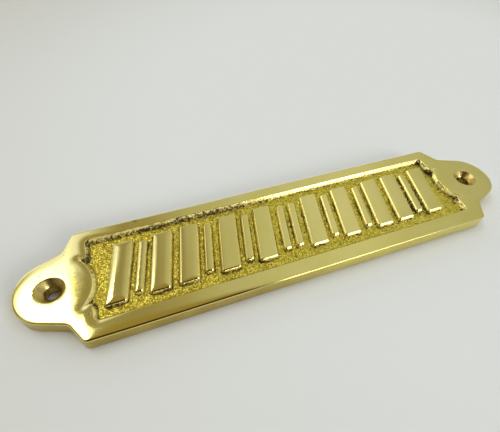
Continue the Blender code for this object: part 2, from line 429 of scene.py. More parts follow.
# %% Stipple the floor
STIPPLE_SIZE = 0.56
STIPPLE_DEPTH = 0.23
WALL_ROUGHNESS = 0.14
DENT_STEEPNESS = 1.3
DENT_SHARE = 0.6              # the rest is the finer noise
FINER = 2.1


def stipple(points):
    """Dents between 0 and 1 of the stipple's own size at each place."""
    dents = []
    for x, y in points:
        place = Vector((x, y, 0)) / STIPPLE_SIZE
        punched = min(1.0, noise.voronoi(place)[0][0] * DENT_STEEPNESS)
        dents.append(DENT_SHARE * punched + (1 - DENT_SHARE) * (0.5 + noise.noise(place * FINER)))
    return np.array(dents)


some_dents = stipple([(x, 0) for x in range(400)])
print(f"The dents go from {some_dents.min():.2f} to {some_dents.max():.2f}")

# %% [markdown]
# ## A net of points
#
# A grid fine enough for the walls would have over a million faces. A mesh that follows the contours
# stays crisp at the walls with few. Loops of points are laid along every step of every wall, and
# loose points are strewn between them, close on the stippled floor and wide on the flats. A
# constrained Delaunay triangulation then joins them all.

# %% Lay the loops
WALL_SPACING = 0.45
COUNTERSINK = 9.4 / 2
FACE_OF_HOLE = COUNTERSINK + 0.35
HOLE_SIDES = 56


def circle(middle, radius):
    angles = np.arange(HOLE_SIDES) / HOLE_SIDES * math.tau
    return np.column_stack((middle + radius * np.cos(angles), radius * np.sin(angles)))


def offset(loop, inset):
    """The loop moved in along its own normals, point for point."""
    along = np.roll(loop, -1, axis=0) - np.roll(loop, 1, axis=0)
    inward = np.column_stack((-along[:, 1], along[:, 0])) / np.linalg.norm(along, axis=1)[:, None]
    return loop + inward * np.broadcast_to(inset, len(loop))[:, None]


edge_roll = np.interp(PLATE_LOOP[:, 0], ROLL_PLACES, ROLL_SIZES)
loops = [offset(PLATE_LOOP, edge_roll), circle(-HOLE_X, FACE_OF_HOLE), circle(HOLE_X, FACE_OF_HOLE)]
loops += [offset(PLATE_LOOP, edge_roll + HOLD / 2)]
loops += [evenly(panel_outline(-step), WALL_SPACING) for step in PANEL_STEPS]
for stroke in STROKES:
    loops += [evenly(stroke_outline(stroke, -step), WALL_SPACING) for step in STROKE_STEPS]
print(f"{len(loops)} loops with {sum(len(loop) for loop in loops)} points")

# %% Strew loose points
FLOOR_SPACING = 0.25
FLAT_SPACING = 0.85
SHAKE = 0.22
FLOOR_MARGIN = 0.18           # clear of the loops, or triangles get thin
RIM_MARGIN = 0.4
EDGE_MARGIN = 0.45
STROKE_MARGIN = 0.35


def strewn(spacing, seed):
    """Loose points in a shaken triangular grid over the whole plate."""
    rows = np.arange(-HALF_WIDTH, HALF_WIDTH, spacing * math.sqrt(3) / 2)
    columns = np.arange(-LENGTH / 2, LENGTH / 2, spacing)
    x, y = np.meshgrid(columns, rows)
    x[1::2] += spacing / 2
    shake = np.random.default_rng(seed).uniform(-SHAKE, SHAKE, (x.size, 2)) * spacing
    return np.column_stack((x.ravel(), y.ravel())) + shake


fine = strewn(FLOOR_SPACING, seed=1)
into_panel, into_stroke = signed_distance(PANEL_LOOP, fine), stroke_distance(fine)
in_gaps = (into_panel > -PANEL_STEPS[0] + FLOOR_MARGIN) & (into_stroke < STROKE_STEPS[0] - FLOOR_MARGIN)
fine = fine[in_gaps]

wide = strewn(FLAT_SPACING, seed=2)
into_panel, into_stroke = signed_distance(PANEL_LOOP, wide), stroke_distance(wide)
on_rim = -into_panel > PANEL_STEPS[-1] + RIM_MARGIN
on_rim &= signed_distance(PLATE_LOOP, wide) > max(ROLL_SIZES) + EDGE_MARGIN
for side in (-1, 1):
    on_rim &= np.hypot(wide[:, 0] - side * HOLE_X, wide[:, 1]) > FACE_OF_HOLE + EDGE_MARGIN
wide = wide[on_rim | (into_stroke > STROKE_STEPS[-1] + STROKE_MARGIN)]
print(f"{len(fine)} points on the floor and {len(wide)} on the flats")

# %% Join the points
JOIN_PRECISION = 1e-5


def join(loops, loose=(), holes=()):
    """Joins loops and loose points: the places, the triangles, and each loop as points' numbers."""
    starts = np.cumsum([0] + [len(loop) for loop in loops])
    along_loops = [(int(start + i), int(start + (i + 1) % len(loop)))
                   for start, loop in zip(starts, loops) for i in range(len(loop))]
    net = [Vector(p) for p in np.vstack([*loops, *loose])]
    joined, _, triangles, sources, _, _ = delaunay_2d_cdt(net, along_loops, [], 1, JOIN_PRECISION)
    number_of = {source: i for i, found in enumerate(sources) for source in found}
    rings = [[number_of[int(start) + i] for i in range(len(loop))] for start, loop in zip(starts, loops)]
    open_rings = [set(rings[hole]) for hole in holes]
    triangles = [tuple(t) for t in triangles if not any(ring.issuperset(t) for ring in open_rings)]
    return np.array([(p.x, p.y) for p in joined]), triangles, rings


plan, triangles, rings = join(loops, (fine, wide), holes=(1, 2))
edge_ring, *hole_rings = rings[:3]
height, into_panel, into_stroke = front_height(plan)
print(f"{len(plan)} points joined by {len(triangles)} triangles")

# %% [markdown]
# ## What the wheel doesn't reach
#
# The floor and the feet of the walls are roughened in the mesh. Two numbers are kept at every point
# for the materials: how deep it lies in a dent, where the deepest dents get painted shade, and how
# near it is to the foot of a wall, where grime and painted shade go. Corners between two walls keep
# the most, so both walls' nearness is added up. The upper wall was never filed in its left half, so it
# is rougher there and carries grime and painted shade to its edge.

# %% Roughen the floor and the walls
LEVEL_DENT = 0.35             # the dent that leaves the floor where it is
LEVEL_WALL_DENT = 0.3
FOOT_FADE = 0.45
OFF_RIM = 0.05
WALL_TOP = 0.95               # as a share of the panel's depth
WALL_TOP_SHARPNESS = 2.2
AS_CAST_FADE = (22, -25)      # along the sign, from filed walls to walls as cast
UPPER_SIDE = (6, 10)

past_wall = into_panel - PANEL_WALL
past_stroke = -into_stroke - STROKE_LEAN
floor_share = np.clip(past_wall / FOOT_FADE, 0, 1) * np.clip(past_stroke / FOOT_FADE, 0, 1)
rise = (height - FLOOR_Z) / PANEL_DEPTH
off_flats = (into_panel > OFF_RIM) & (into_stroke < 0)
wall_share = off_flats * (1 - floor_share) * np.clip((WALL_TOP - rise) * WALL_TOP_SHARPNESS, 0, 1)
as_cast = eased(plan[:, 0], AS_CAST_FADE)
raw_wall = as_cast * eased(plan[:, 1], UPPER_SIDE)
dents = stipple(plan)
height = height - floor_share * STIPPLE_DEPTH * (dents - LEVEL_DENT)
height -= wall_share * WALL_ROUGHNESS * (1 + 2 * raw_wall) * (dents - LEVEL_WALL_DENT)
print(f"The floor is {THICKNESS - height[floor_share > 0.5].mean():.2f} mm below the rim on average")

# %% Find where grime and painted shade go
GRIME_AND_SHADE_REACH = 0.9
POCKET_REACH = 3.0
UNDER_ROW = (10.0, 11.5)      # how far below the row's middle its lower ends are
UNDER_ROW_EXTRA = 0.3
BESIDE_WALL = 0.85
MOST_AT_FEET = 1.2
MOST_ANYWHERE = 1.15
# Grime and painted shade at the feet thin out up the wall, towards FEET_END.
FEET_END = 1.25               # grime at feet thins out up the wall, towards this rise
RAW_WALL_END = 1.5
RAW_WALL_SLOPE = 1.1
RAW_WALL_FOOT = 0.1
CLEAN_FROM = 0.97


def nearness(distance, reach):
    """1 at no distance, and down to 0 at the reach."""
    return np.clip(1 - np.abs(distance) / reach, 0, 1)


pockets = [(sx * PANEL_END, y) for sx in (-1, 1) for y in (-NOTCH_Y, NOTCH_Y)]
pockets += [(sx * PANEL_END, y) for sx in (-1, 1) for y in (PANEL_TOP, PANEL_BOTTOM)]
in_pocket = sum(nearness(np.hypot(*(plan - pocket).T), POCKET_REACH) for pocket in pockets)
beside_wall = BESIDE_WALL * nearness(past_wall, GRIME_AND_SHADE_REACH)
# The stroke feet below the row get more painted shade in the left half.
under_row_grime_and_shade = as_cast * eased(ROW_Y - plan[:, 1], UNDER_ROW)
beside_stroke = nearness(past_stroke, GRIME_AND_SHADE_REACH) * (1.0 + UNDER_ROW_EXTRA * under_row_grime_and_shade)
near_foot = np.minimum(beside_wall + beside_stroke, MOST_AT_FEET) * np.clip(FEET_END - rise, 0, 1)
# On the left half of the upper wall it climbs the wall: grime and painted shade.
raw_wall_grime_and_shade = raw_wall * (past_wall < RAW_WALL_FOOT) * np.clip(RAW_WALL_END - RAW_WALL_SLOPE * rise, 0, 1)
near_foot = np.maximum(near_foot, raw_wall_grime_and_shade)
near_foot = np.minimum(near_foot + in_pocket, MOST_ANYWHERE) * off_flats * (rise < CLEAN_FROM)
print(f"Grime can stay at {np.count_nonzero(near_foot)} of {len(plan)} points")

# %% [markdown]
# ## Sides, holes and back
#
# The rest of the skin hangs from the front's own loops: each ring below has as many points as the one
# above it, and two rings are joined by a strip. The sign's back was only ground flat. Every face is
# also given its zone, which later gets a finish of its own.

# %% Sort the front into zones
ZONES = ("buffed", "stippled", "wall", "side", "turned", "back")
PAST_FOOT = 0.05
FLAT_BEFORE_SHOULDER = 0.12

mean_panel = into_panel[np.array(triangles)].mean(1)
mean_stroke = into_stroke[np.array(triangles)].mean(1)
on_floor = (mean_panel > PANEL_WALL + PAST_FOOT) & (mean_stroke < -STROKE_LEAN - PAST_FOOT)
on_flat = (mean_panel < 0) | (mean_stroke > STROKE_SHOULDER - FLAT_BEFORE_SHOULDER)
zone_names = np.where(on_floor, "stippled", np.where(on_flat, "buffed", "wall"))
zones = [ZONES.index(name) for name in zone_names]
faces = list(triangles)
points = [np.column_stack((plan, height))]
print("faces on the front:", {name: int(np.sum(zone_names == name)) for name in ZONES[:3]})

# %% Hang the rolled edge and the sides
ROLL_START = 78
ROLL_STEPS = 8
SIDE_LEVELS = (3.6, 2.2, 1.0)
BACK_EDGE = 0.3
BACK_EDGE_MIDDLE = 0.3        # a share of BACK_EDGE


def add_points(added):
    """Adds points to the skin and gives their numbers."""
    first = sum(len(p) for p in points)
    points.append(np.asarray(added, float))
    return list(range(first, first + len(added)))


def hang(ring, next_ring, zone):
    """Joins two rings, of which the first is further up or further out, by a strip of faces."""
    for i, corner in enumerate(ring):
        faces.append((ring[i - 1], next_ring[i - 1], next_ring[i], corner))
        zones.append(ZONES.index(zone))


def level(loop, z):
    return np.column_stack((loop, np.broadcast_to(z, len(loop))))


ring = edge_ring
edge_z = height[edge_ring]
for angle in np.radians(np.linspace(ROLL_START, 0, ROLL_STEPS)):
    rolled_loop = offset(PLATE_LOOP, edge_roll * (1 - math.cos(angle)))
    next_ring = add_points(level(rolled_loop, edge_z - edge_roll * (1 - math.sin(angle))))
    hang(ring, next_ring, "buffed")
    ring = next_ring
half_edge = BACK_EDGE * BACK_EDGE_MIDDLE
side_rings = [(0, z) for z in (*SIDE_LEVELS, BACK_EDGE)] + [(half_edge, half_edge), (BACK_EDGE, 0)]
for inset, z in side_rings:
    next_ring = add_points(level(offset(PLATE_LOOP, inset), z))
    hang(ring, next_ring, "side")
    ring = next_ring
back_rings = [ring]
print(f"The side hangs in {ROLL_STEPS + len(side_rings)} rings of {len(ring)} points")

# %% Sink the screw holes
SCREW_HOLE = 4.9 / 2
SOFT_LIP = 0.1
LIP_DROP = 0.06
CONE_START = (0.15, 0.32)     # inward and down from the face
CONE_STEPS = (1.4, 0.6, 0.05)
UNDER_CONE = 0.15
BORE_LEVELS = (2.6, 1.5)


def hole_section(face_z):
    """Radii and heights down a screw hole: a soft lip, a straight cone and a bore."""
    cone_foot = THICKNESS - (COUNTERSINK - SCREW_HOLE)
    lip = (COUNTERSINK + SOFT_LIP, face_z - LIP_DROP)
    cone = [(COUNTERSINK - CONE_START[0], THICKNESS - CONE_START[1])]
    cone += [(SCREW_HOLE + step, cone_foot + step) for step in CONE_STEPS]
    bore = [(SCREW_HOLE, z) for z in (cone_foot - UNDER_CONE, *BORE_LEVELS, SOFT_LIP)]
    return [lip, *cone, *bore, (SCREW_HOLE + SOFT_LIP, 0)]


for middle, top_ring in zip((-HOLE_X, HOLE_X), hole_rings):
    ring = top_ring[::-1]
    for radius, z in hole_section(height[top_ring].mean()):
        next_ring = add_points(level(circle(middle, radius)[::-1], z))
        hang(ring, next_ring, "turned")
        ring = next_ring
    back_rings.append(ring)
print(f"A screw hole is {2 * SCREW_HOLE:.1f} mm wide and its countersink {2 * COUNTERSINK:.1f} mm")

# %% Close the back
all_points = np.vstack(points)
_, back_triangles, rings = join([all_points[ring][:, :2] for ring in back_rings], holes=(1, 2))
on_skin = {n: skin_n for ring, skin_ring in zip(rings, back_rings) for n, skin_n in zip(ring, skin_ring)}
for triangle in back_triangles:
    faces.append(tuple(on_skin[n] for n in reversed(triangle)))
    zones.append(ZONES.index("back"))
print(f"The skin has {len(all_points)} points and {len(faces)} faces")

# %% Make the casting
mesh = bpy.data.meshes.new("cast_sign_plate")
mesh.from_pydata(standing(all_points).tolist(), [], faces)
mesh.polygons.foreach_set("material_index", zones)
mesh.shade_smooth()
for name, values in (("dent", dents), ("near_foot", near_foot)):
    kept = np.zeros(len(all_points), np.float32)
    kept[:len(values)] = values
    mesh.attributes.new(name, "FLOAT", "POINT").data.foreach_set("value", kept)
casting = bpy.data.objects.new("cast_sign_plate", mesh)
bpy.context.scene.collection.objects.link(casting)
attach(casting, "root")
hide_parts("sign_plate")
check = bmesh.new()
check.from_mesh(mesh)
print("open edges:", sum(not e.is_manifold for e in check.edges),
      "volume mm3:", round(check.calc_volume() / MM ** 3),
      "triangles:", sum(len(f.verts) - 2 for f in check.faces))
check.free()

# %% [markdown]
# ## Node helpers
#
# A material or a world is a tree of nodes. These helpers keep the trees readable: one adds a node with
# its settings and links, and one makes a node group, which several materials then share. Groups take
# places in millimetres.

# %% Add nodes and groups
def connect(tree, node, inputs):
    """Links each named input of a node to a socket, or sets it to a value."""
    for key, value in inputs.items():
        if isinstance(value, bpy.types.NodeSocket):
            tree.links.new(value, node.inputs[key])
        else:
            node.inputs[key].default_value = value


def add_node(tree, kind, inputs=None, output=0, **settings):
    """Adds a node, links or sets its inputs, and gives one of its outputs."""
    node = tree.nodes.new("ShaderNode" + kind)
    for name, value in settings.items():
        setattr(node, name, value)
    connect(tree, node, inputs or {})
    return node.outputs[output]


def calculate(tree, operation, first, second=0.0, third=0.0):
    return add_node(tree, "Math", {0: first, 1: second, 2: third}, operation=operation)


def smooth_step(tree, value, start, end, low=0.0, high=1.0):
    """The value's way from low to high, between a start and an end."""
    return add_node(tree, "MapRange", {"Value": value, "From Min": start, "From Max": end,
                                       "To Min": low, "To Max": high}, interpolation_type="SMOOTHSTEP")


def noisy(tree, place, scale, detail, roughness=0.5):
    """A noise around 0.5, in spots of 1 / scale."""
    settings = {"Vector": place, "Scale": scale, "Detail": detail, "Roughness": roughness}
    return add_node(tree, "TexNoise", settings)


def blend(tree, share, first, second):
    return add_node(tree, "Mix", {0: share, 6: first, 7: second}, output=2, data_type="RGBA")


def new_group(name, inputs, outputs):
    """A node group with named sockets: its tree, what it is given, and its output node."""
    group = bpy.data.node_groups.new(name, "ShaderNodeTree")
    for socket, kind, value in inputs:
        made = group.interface.new_socket(socket, in_out="INPUT", socket_type="NodeSocket" + kind)
        made.default_value = value
    for socket, kind in outputs:
        group.interface.new_socket(socket, in_out="OUTPUT", socket_type="NodeSocket" + kind)
    print("made the group", name)
    return group, group.nodes.new("NodeGroupInput").outputs, group.nodes.new("NodeGroupOutput")


def use_group(tree, group, inputs, output=0):
    return add_node(tree, "Group", inputs, output, node_tree=group)


PLACE = ("Place", "Vector", (0, 0, 0))

# %% [markdown]
# ## Shared effects
#
# Four effects come back in several finishes, so each is a group: how brass changes tone from place
# to place, the fine lines that wheels and belts leave, pits that the casting sand left, and the
# brown grime that polish leaves in corners, painted together with shade there. Image textures would
# show their pixels this near, and noises stay sharp at any size.

# %% Vary the tone of brass
tone, given, result = new_group(
    "brass_tone", (PLACE, ("Patch Size", "Float", 10), ("Pale", "Color", (1, 1, 1, 1)),
                   ("Deep", "Color", (0, 0, 0, 1))), (("Color", "Color"),))
rate = calculate(tone, "DIVIDE", 1.0, given["Patch Size"])
patches = noisy(tone, given["Place"], rate, detail=3.0, roughness=0.6)
share = smooth_step(tone, patches, 0.3, 0.7)
connect(tone, result, {"Color": blend(tone, share, given["Deep"], given["Pale"])})

# %% Draw the lines of a wheel or belt
CLOUD_SCALE = 0.14

lines, given, result = new_group(
    "tool_lines", (PLACE, ("Stretch", "Vector", (0.1, 1, 1)), ("Line Width", "Float", 0.3),
                   ("Smoothest", "Float", 0.05), ("Roughest", "Float", 0.12)),
    (("Roughness", "Float"), ("Height", "Float")))
drawn = add_node(lines, "VectorMath", {0: given["Place"], 1: given["Stretch"]}, operation="MULTIPLY")
rate = calculate(lines, "DIVIDE", 1.0, given["Line Width"])
streaks = noisy(lines, drawn, rate, detail=4.0, roughness=0.65)
clouds = noisy(lines, given["Place"], CLOUD_SCALE, detail=2.0)
in_clouds = smooth_step(lines, clouds, 0.25, 0.75)
mixed = calculate(lines, "MULTIPLY", smooth_step(lines, streaks, 0.3, 0.75), in_clouds)
roughness = add_node(lines, "MapRange", {"Value": mixed, "To Min": given["Smoothest"],
                                         "To Max": given["Roughest"]})
connect(lines, result, {"Roughness": roughness, "Height": streaks})

# %% Scatter pits
pits, given, result = new_group(
    "casting_pits", (PLACE, ("Spacing", "Float", 4), ("Pit Size", "Float", 0.3), ("Share", "Float", 0.3)),
    (("Mask", "Float"),))
rate = calculate(pits, "DIVIDE", 1.0, given["Spacing"])
away = add_node(pits, "TexVoronoi", {"Vector": given["Place"], "Scale": rate}, "Distance")
draw = add_node(pits, "SeparateColor", {"Color": away.node.outputs["Color"]})
radius = calculate(pits, "MULTIPLY", calculate(pits, "DIVIDE", given["Pit Size"], given["Spacing"]), draw)
hollow = add_node(pits, "MapRange", {"Value": away, "From Min": radius, "From Max": 0.0})
chosen = calculate(pits, "LESS_THAN", draw.node.outputs["Green"], given["Share"])
connect(pits, result, {"Mask": calculate(pits, "MULTIPLY", smooth_step(pits, hollow, 0.0, 0.4), chosen)})

# %% Gather grime and painted shade in the corners
DRIFT_SCALE = 0.11
DRIFT_SWING = 0.7
SPECK_SWING = 2.4
GRIME_AND_SHADE_FADE = (0.42, 0.72)

# A dark mask at the feet of the walls, broken up by drifts and specks: grime and painted shade.
grime_and_shade, given, result = new_group(
    "corner_grime_and_shade", (PLACE, ("Nearness", "Float", 0), ("Amount", "Float", 0.5),
                     ("Speck Size", "Float", 0.5)), (("Mask", "Float"),))
rate = calculate(grime_and_shade, "DIVIDE", 1.0, given["Speck Size"])
drifts = noisy(grime_and_shade, given["Place"], DRIFT_SCALE, detail=1.0)
specks = noisy(grime_and_shade, given["Place"], rate, detail=4.0, roughness=0.7)
amount = calculate(grime_and_shade, "MULTIPLY", given["Nearness"], given["Amount"])
for uneven, swing in ((drifts, DRIFT_SWING), (specks, SPECK_SWING)):
    around_zero = calculate(grime_and_shade, "SUBTRACT", uneven, 0.5)
    amount = calculate(grime_and_shade, "ADD", amount, calculate(grime_and_shade, "MULTIPLY", around_zero, swing))
within_reach = smooth_step(grime_and_shade, given["Nearness"], 0.0, 0.25)
mask = calculate(grime_and_shade, "MULTIPLY", smooth_step(grime_and_shade, amount, *GRIME_AND_SHADE_FADE), within_reach)
connect(grime_and_shade, result, {"Mask": mask})

# %% [markdown]
# ## Finishes
#
# All of the sign is one brass, so every zone keeps a metal's colour and differs in how rough it is,
# how deep its colour looks, which in some zones is painted shade, and what lies on it. Thick grime, and
# the shade painted with it, is no metal, so it lowers Metallic. The mesh carries the zones, so each
# finish is a plain material of its own and no mask is needed.

# %% Start a finish
# The dark brown of pits, marks and grime, and of the shade painted with the grime.
GRIME_AND_SHADE_COLOUR = (0.07, 0.042, 0.008, 1)


def new_material(name):
    """A material, its tree and its shader."""
    material = bpy.data.materials.new(name)
    material.use_nodes = True
    print("made the material", name)
    return material, material.node_tree, material.node_tree.nodes["Principled BSDF"]


def start_finish(name):
    """The tree and the shader of one of the sign's zones, and places on it in millimetres."""
    material, tree, shader = new_material(name)
    connect(tree, shader, {"Metallic": 1, "Specular IOR Level": 0.2})
    scaled = {0: add_node(tree, "TexCoord", output="Object"), "Scale": 1 / MM}
    mesh.materials.append(material)
    return tree, shader, add_node(tree, "VectorMath", scaled, operation="SCALE")


def toned(tree, place, patch_size, pale, deep):
    """Brass whose tone changes from place to place."""
    return use_group(tree, tone, {"Place": place, "Patch Size": patch_size, "Pale": pale, "Deep": deep})


def tool_marks(tree, place, stretch, line_width, smoothest, roughest):
    """The roughness and the height of the fine lines of a tool."""
    marks = {"Place": place, "Stretch": stretch, "Line Width": line_width, "Smoothest": smoothest,
             "Roughest": roughest}
    marked = use_group(tree, lines, marks, "Roughness")
    return marked, marked.node.outputs["Height"]


def pitted(tree, place, spacing, size, share):
    return use_group(tree, pits, {"Place": place, "Spacing": spacing, "Pit Size": size, "Share": share})


def bumped(tree, height, depth, normal=None):
    """A bump of a real depth in millimetres."""
    links = {"Height": height, "Distance": depth * MM, "Strength": 1.0}
    if normal:
        links["Normal"] = normal
    return add_node(tree, "Bump", links)


def kept_number(tree, name):
    """A number that the mesh keeps at its points."""
    return add_node(tree, "Attribute", output="Fac", attribute_name=name)


# %% Finish the buffed flats
# Each mark has its place, its radius and how strongly it shows.
MARKS = ((-62.4, 19.9, 0.42, 1), (-92.6, 6.6, 0.3, 0.8), (-92.6, 4.7, 0.3, 0.8), (-84.4, 13.2, 0.22, 0.6),
         (-78.2, -13.1, 0.42, 1), (-57.9, 21.5, 1.5, 0.35))

tree, shader, place = start_finish("buffed_brass")
colour = toned(tree, place, 16.0, pale=(0.84, 0.735, 0.25, 1), deep=(0.80, 0.695, 0.205, 1))
roughness, marked = tool_marks(tree, place, (0.07, 1, 1), line_width=0.35, smoothest=0.055, roughest=0.15)
pit = pitted(tree, place, spacing=5.5, size=0.5, share=0.1)
for x, y, radius, strength in MARKS:
    spot = {0: place, 1: placed((x, y, THICKNESS)) / MM}
    away = add_node(tree, "VectorMath", spot, "Value", operation="DISTANCE")
    pit = calculate(tree, "MAXIMUM", pit, smooth_step(tree, away, radius, radius * 0.4, 0.0, strength))
bump = bumped(tree, marked, depth=0.0006)
bump = bumped(tree, calculate(tree, "MULTIPLY", pit, -1.0), depth=0.08, normal=bump)
connect(tree, shader, {"Base Color": blend(tree, pit, colour, GRIME_AND_SHADE_COLOUR), "Roughness": roughness,
                       "Normal": bump})

# %% Finish the stippled floor
DENT_SHADE_FADE = (-50.0, 20.0)     # along the sign, from darker dents to paler ones

tree, shader, place = start_finish("stippled_brass")
grain = noisy(tree, place, 4.2, detail=3.0, roughness=0.7)
# Painted shade: the deepest dents are darker, and darker still toward the left end.
deepness = calculate(tree, "MULTIPLY", kept_number(tree, "dent"), 0.9)
deepness = calculate(tree, "ADD", deepness, calculate(tree, "MULTIPLY", grain, 0.7))
gold = toned(tree, place, 7.0, pale=(0.97, 0.87, 0.15, 1), deep=(0.90, 0.79, 0.11, 1))
along = smooth_step(tree, add_node(tree, "SeparateXYZ", {0: place}), *DENT_SHADE_FADE)
painted_dent_shade = blend(tree, along, (0.32, 0.23, 0.02, 1), (0.50, 0.41, 0.04, 1))
colour = blend(tree, smooth_step(tree, deepness, 0.68, 0.96), gold, painted_dent_shade)
# Grime and painted shade at the feet of the walls.
dirt_and_shade = use_group(tree, grime_and_shade, {"Place": place, "Nearness": kept_number(tree, "near_foot"), "Amount": 0.5,
                               "Speck Size": 1.1})
speck = calculate(tree, "MULTIPLY", pitted(tree, place, spacing=0.7, size=0.5, share=0.5), 0.8)
dark = calculate(tree, "MAXIMUM", dirt_and_shade, speck)
connect(tree, shader, {"Base Color": blend(tree, dark, colour, GRIME_AND_SHADE_COLOUR),
                       "Metallic": calculate(tree, "SUBTRACT", 1.0, dark),
                       "Roughness": smooth_step(tree, grain, 0.3, 0.7, 0.30, 0.42),
                       "Normal": bumped(tree, grain, depth=0.09)})

# %% Finish the walls
# The filed upper part of a wall is smooth and bright, and its foot is rough, as cast, and darkened by
# grime and painted shade.
tree, shader, place = start_finish("wall_brass")
near_foot_here = kept_number(tree, "near_foot")
colour = toned(tree, place, 3.0, pale=(0.86, 0.76, 0.27, 1), deep=(0.80, 0.66, 0.19, 1))
dirt_and_shade = use_group(tree, grime_and_shade, {"Place": place, "Nearness": near_foot_here, "Amount": 0.7,
                               "Speck Size": 1.0})
rough = smooth_step(tree, near_foot_here, 0.1, 0.8, 0.08, 0.36)
rough = calculate(tree, "MAXIMUM", rough, calculate(tree, "MULTIPLY", dirt_and_shade, 0.6))
grain = noisy(tree, place, 3.0, detail=3.0, roughness=0.6)
grain = calculate(tree, "MULTIPLY", grain, smooth_step(tree, near_foot_here, 0.1, 0.8, 0.1, 1.0))
connect(tree, shader, {"Base Color": blend(tree, dirt_and_shade, colour, GRIME_AND_SHADE_COLOUR),
                       "Metallic": calculate(tree, "SUBTRACT", 1.0, dirt_and_shade),
                       "Roughness": rough, "Normal": bumped(tree, grain, depth=0.3)})

# %% Finish the side
# Painted shade: the side's brass is darker toward the left end.
SIDE_SHADE_FADE = (-35.0, 20.0)

tree, shader, place = start_finish("ground_brass")
along = smooth_step(tree, add_node(tree, "SeparateXYZ", {0: place}), *SIDE_SHADE_FADE)
pale = blend(tree, along, (0.59, 0.45, 0.12, 1), (0.84, 0.73, 0.20, 1))
deep = blend(tree, along, (0.50, 0.37, 0.08, 1), (0.78, 0.66, 0.16, 1))
roughness, marked = tool_marks(tree, place, (0.04, 1, 0.04), line_width=0.22, smoothest=0.16, roughest=0.3)
pit = pitted(tree, place, spacing=3.4, size=0.4, share=0.2)
colour = blend(tree, pit, toned(tree, place, 9.0, pale, deep), GRIME_AND_SHADE_COLOUR)
bump = bumped(tree, marked, depth=0.03)
connect(tree, shader, {"Base Color": colour, "Roughness": roughness, "Normal": bump})

# %% Finish the screw holes
tree, shader, place = start_finish("turned_brass")
# Painted shade: the brass in the holes is darker than on the flats.
colour = toned(tree, place, 2.0, pale=(0.60, 0.48, 0.16, 1), deep=(0.46, 0.34, 0.09, 1))
roughness, marked = tool_marks(tree, place, (0.05, 1, 0.05), line_width=0.16, smoothest=0.26, roughest=0.4)
bump = bumped(tree, marked, depth=0.012)
connect(tree, shader, {"Base Color": colour, "Roughness": roughness, "Normal": bump})

# %% Finish the back
SAND_COLOUR = (0.16, 0.11, 0.04, 1)

tree, shader, place = start_finish("back_brass")
colour = toned(tree, place, 12.0, pale=(0.66, 0.53, 0.22, 1), deep=(0.50, 0.38, 0.13, 1))
roughness, marked = tool_marks(tree, place, (0.03, 1, 1), line_width=0.3, smoothest=0.34, roughest=0.52)
pit = pitted(tree, place, spacing=3.0, size=0.7, share=0.45)
bump = bumped(tree, marked, depth=0.02)
bump = bumped(tree, calculate(tree, "MULTIPLY", pit, -1.0), depth=0.12, normal=bump)
connect(tree, shader, {"Base Color": blend(tree, pit, colour, SAND_COLOUR), "Roughness": roughness,
                       "Normal": bump})

# %% [markdown]
# ## Table
#
# The sign lies on a pale table. A table under it would keep light from its back, which other views
# show, so the table has an opening under the sign and is clear from below. A small disc under each
# screw hole still shows the table through it. The table's colour holds painted light: it is palest
# near the sign's right end and duller to the far left.

# %% Lay the table
TABLE_SIZE = 2400
TABLE_GAP = 0.4
OPENING_INSET = 1.0
DISC_RADIUS = 4.0

square = np.array([(-1, -1), (1, -1), (1, 1), (-1, 1)]) * TABLE_SIZE / 2
table_loops = [square, offset(PLATE_LOOP, OPENING_INSET)]
table_loops += [circle(side * HOLE_X, DISC_RADIUS) for side in (-1, 1)]
table_plan, triangles, _ = join(table_loops)
middles = table_plan[np.array(triangles)].mean(1)
on_table = signed_distance(table_loops[1], middles) < 0
for side in (-1, 1):
    on_table |= np.hypot(*(middles - (side * HOLE_X, 0)).T) < DISC_RADIUS
table_mesh = bpy.data.meshes.new("table")
table_mesh.from_pydata(standing(level(table_plan, -TABLE_GAP)).tolist(), [],
                       [triangle for triangle, kept in zip(triangles, on_table) if kept])
table = bpy.data.objects.new("table", table_mesh)
bpy.context.scene.collection.objects.link(table)
print(f"The table has {len(table_mesh.polygons)} faces")

# %% Finish the table
# Painted light: the table's colour is palest round one place near the sign's right end and duller further
# away.
PAINTED_LIGHT_MIDDLE = (110, 60, 0)
PAINTED_LIGHT_REACH = (0.13, 0.36)     # in metres from there, from pale to dull
TABLE_IN_PAINTED_LIGHT = (0.80, 0.83, 0.757, 1)
TABLE_IN_PAINTED_SHADE = (0.62, 0.62, 0.52, 1)

material, tree, shader = new_material("pale_table")
spot = {0: add_node(tree, "TexCoord", output="Object"), 1: placed(PAINTED_LIGHT_MIDDLE)}
away = add_node(tree, "VectorMath", spot, "Value", operation="DISTANCE")
table_with_painted_light = blend(tree, smooth_step(tree, away, *PAINTED_LIGHT_REACH), TABLE_IN_PAINTED_LIGHT, TABLE_IN_PAINTED_SHADE)
connect(tree, shader, {"Base Color": table_with_painted_light, "Roughness": 0.6})
clear = add_node(tree, "BsdfTransparent")
from_below = add_node(tree, "NewGeometry", output="Backfacing")
one_sided = add_node(tree, "MixShader", {0: from_below, 1: shader.outputs[0], 2: clear})
connect(tree, tree.nodes["Material Output"], {0: one_sided})
table_mesh.materials.append(material)

# %% [markdown]
# ## Light
#
# Polished brass shows its surroundings, so most of its look is what stands around it: a bright soft
# box high on the left, a window to the front right and one to the left, and a darker room behind the
# camera. Lamps would have to stand at real distances. A world of soft panels gives the same mirror
# images from every side without noise, so each panel below is one use of a group.

# %% Make a soft panel
EXTENT = ("Left", "Left Fade", "Right", "Right Fade", "Bottom", "Bottom Fade", "Top", "Top Fade")
JUST_AHEAD = 0.001

panel, given, result = new_group(
    "soft_panel", [(name, "Vector", (0, 0, 1)) for name in ("Direction", "Facing", "Side", "Up")]
    + [(name, "Float", 0.1) for name in EXTENT], (("Mask", "Float"),))


def dotted(axis):
    pair = {0: given["Direction"], 1: given[axis]}
    return add_node(panel, "VectorMath", pair, "Value", operation="DOT_PRODUCT")


